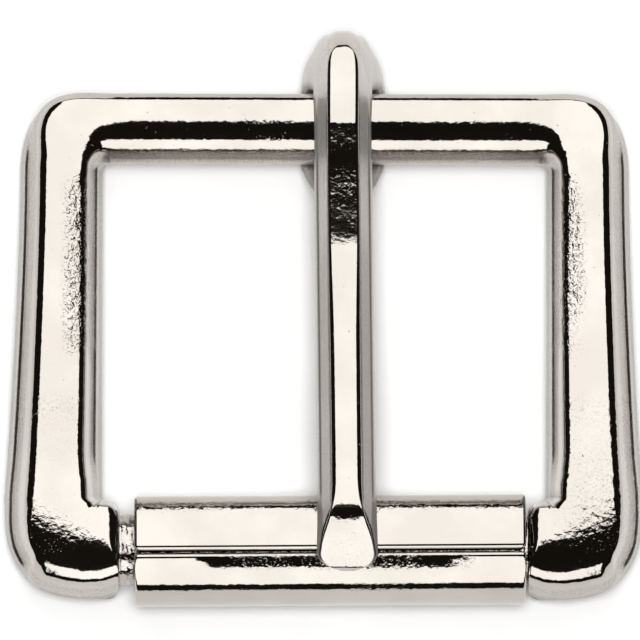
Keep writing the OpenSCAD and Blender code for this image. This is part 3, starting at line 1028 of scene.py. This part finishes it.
def sheet_outline(inset):
    """The sheet cut across its roll, all its faces drawn in by an inset.

    It is a long rectangle (along the tube, out from the axle) whose corners are quarter
    circles of END_ROUND.
    """
    reach = ROLLER_LEN / 2 - inset - END_ROUND
    low = ROLLER_R - ROLLER_WALL + inset
    high = ROLLER_R - inset
    quarter = np.linspace(0, np.pi / 2, SHEET_CORNER_POINTS)

    def corner(along, out, start):
        angle = start + quarter
        return np.stack([along + END_ROUND * np.cos(angle), out + END_ROUND * np.sin(angle)], axis=1)

    along = np.linspace(-reach, reach, SHEET_LONG_POINTS)[1:-1]
    return np.concatenate([
        np.stack([along, np.full_like(along, low)], axis=1),
        corner(reach, low + END_ROUND, -np.pi / 2),
        corner(reach, high - END_ROUND, 0),
        np.stack([along[::-1], np.full_like(along, high)], axis=1),
        corner(-reach, high - END_ROUND, np.pi / 2),
        corner(-reach, low + END_ROUND, np.pi),
    ])


# Each ring is the sheet's outline at one turn of the roll: from one lip round to the other
seam_half = SEAM_GAP / 2 / ROLLER_R
bend = np.linspace(np.pi / 2, 0, LIP_POINTS)
near_turn = SEAM_TURN + seam_half + NEAR_LIP / ROLLER_R * (1 - np.sin(bend))
far_turn = SEAM_TURN + 2 * np.pi - seam_half - FAR_LIP / ROLLER_R * (1 - np.sin(bend))
turn = np.concatenate([
    near_turn, np.linspace(near_turn[-1], far_turn[-1], ROLLER_RINGS)[1:-1], far_turn[::-1],
])
inset = np.zeros_like(turn)
inset[:LIP_POINTS] = NEAR_LIP * (1 - np.cos(bend))
inset[-LIP_POINTS:] = FAR_LIP * (1 - np.cos(bend[::-1]))
along, radius = np.moveaxis(np.stack([sheet_outline(i) for i in inset]), 2, 0)
from_top = 2 * np.pi - turn
rise = ease(from_top, FAR_START, FAR_TOP) - ease(from_top, FAR_TOP, FAR_END)
radius = radius + FAR_RISE * rise[:, None]
y = -radius * np.sin(turn)[:, None]
z = radius * np.cos(turn)[:, None]
flat_share = ease(np.abs(along), FLAT_FROM, FLAT_FULL)
flat = np.sqrt(ROLLER_R ** 2 - FLAT_START ** 2) + FLAT_SLOPE * (y + FLAT_START)
flat = flat + FLAT_CLEAR * (1 - flat_share)
z = np.where(y < -seam_half, np.minimum(z, flat), z)
tube = np.stack([
    ROLLER_X + along * np.cos(ROLLER_SKEW) - y * np.sin(ROLLER_SKEW),
    AXLE_Y + along * np.sin(ROLLER_SKEW) + y * np.cos(ROLLER_SKEW),
    AXLE_Z + z,
], axis=2)
roller_tube = swept_mesh("roller_tube", tube)
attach(roller_tube, "roller")
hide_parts("roller")


# Where the masks of the roller's plate lie, in millimetres: up, across and along the strap,
# and out from the tube's inner face. The seam's are measured from the axle's middle and
# from the tube's top
INSIDE_OUT = (0.10, 0.25)
PATCH_ACROSS = (-5.8, 8.6, 0.6)
PATCH_ALONG = (-14.7, -13.6, 0.2)
PATCH_UP = (6.0, 6.2)
FLANK_UP = (5.8, 6.0)
FAR_FLANK_ALONG = (-13.5, -12.5)
SEAM_ALONG = (-0.27, -0.03, 0.05)
SEAM_UP = (-0.20, -0.10)
# How strong the grainy masks and the grime are
PATCH_GRAIN = 0.9
FLANK_GRAIN = 0.12
FAR_FLANK_GRAIN = 0.20


def roller_as_cast(x, y, z):
    """The tube's inner face is dull."""
    radius = from_axis(y, z, AXLE_Y, AXLE_Z)
    return 1 - (radius - (ROLLER_R - ROLLER_WALL)).step(*INSIDE_OUT)


def roller_coarse(x, y, z):
    """A scuffed patch on the near side of the seam, and grainy flanks, the far one more so."""
    patch = x.band(*PATCH_ACROSS) * y.band(*PATCH_ALONG) * z.step(*PATCH_UP)
    flank = FLANK_GRAIN + FAR_FLANK_GRAIN * y.step(*FAR_FLANK_ALONG)
    return patch * PATCH_GRAIN + (1 - z.step(*FLANK_UP)) * flank


def roller_soiled(x, y, z):
    """Grime down in the seam."""
    below_top = z - (AXLE_Z + ROLLER_R)
    return (y - AXLE_Y).band(*SEAM_ALONG) * (1 - below_top.step(*SEAM_UP))


sheet_nickel = nickel(
    "sheet_nickel", roller_as_cast, roller_coarse, roller_soiled,
    dullness=0.26, haze=0.0, peel=2.0, pit_share=-0.06,
)
roller_tube.data.materials.append(sheet_nickel)
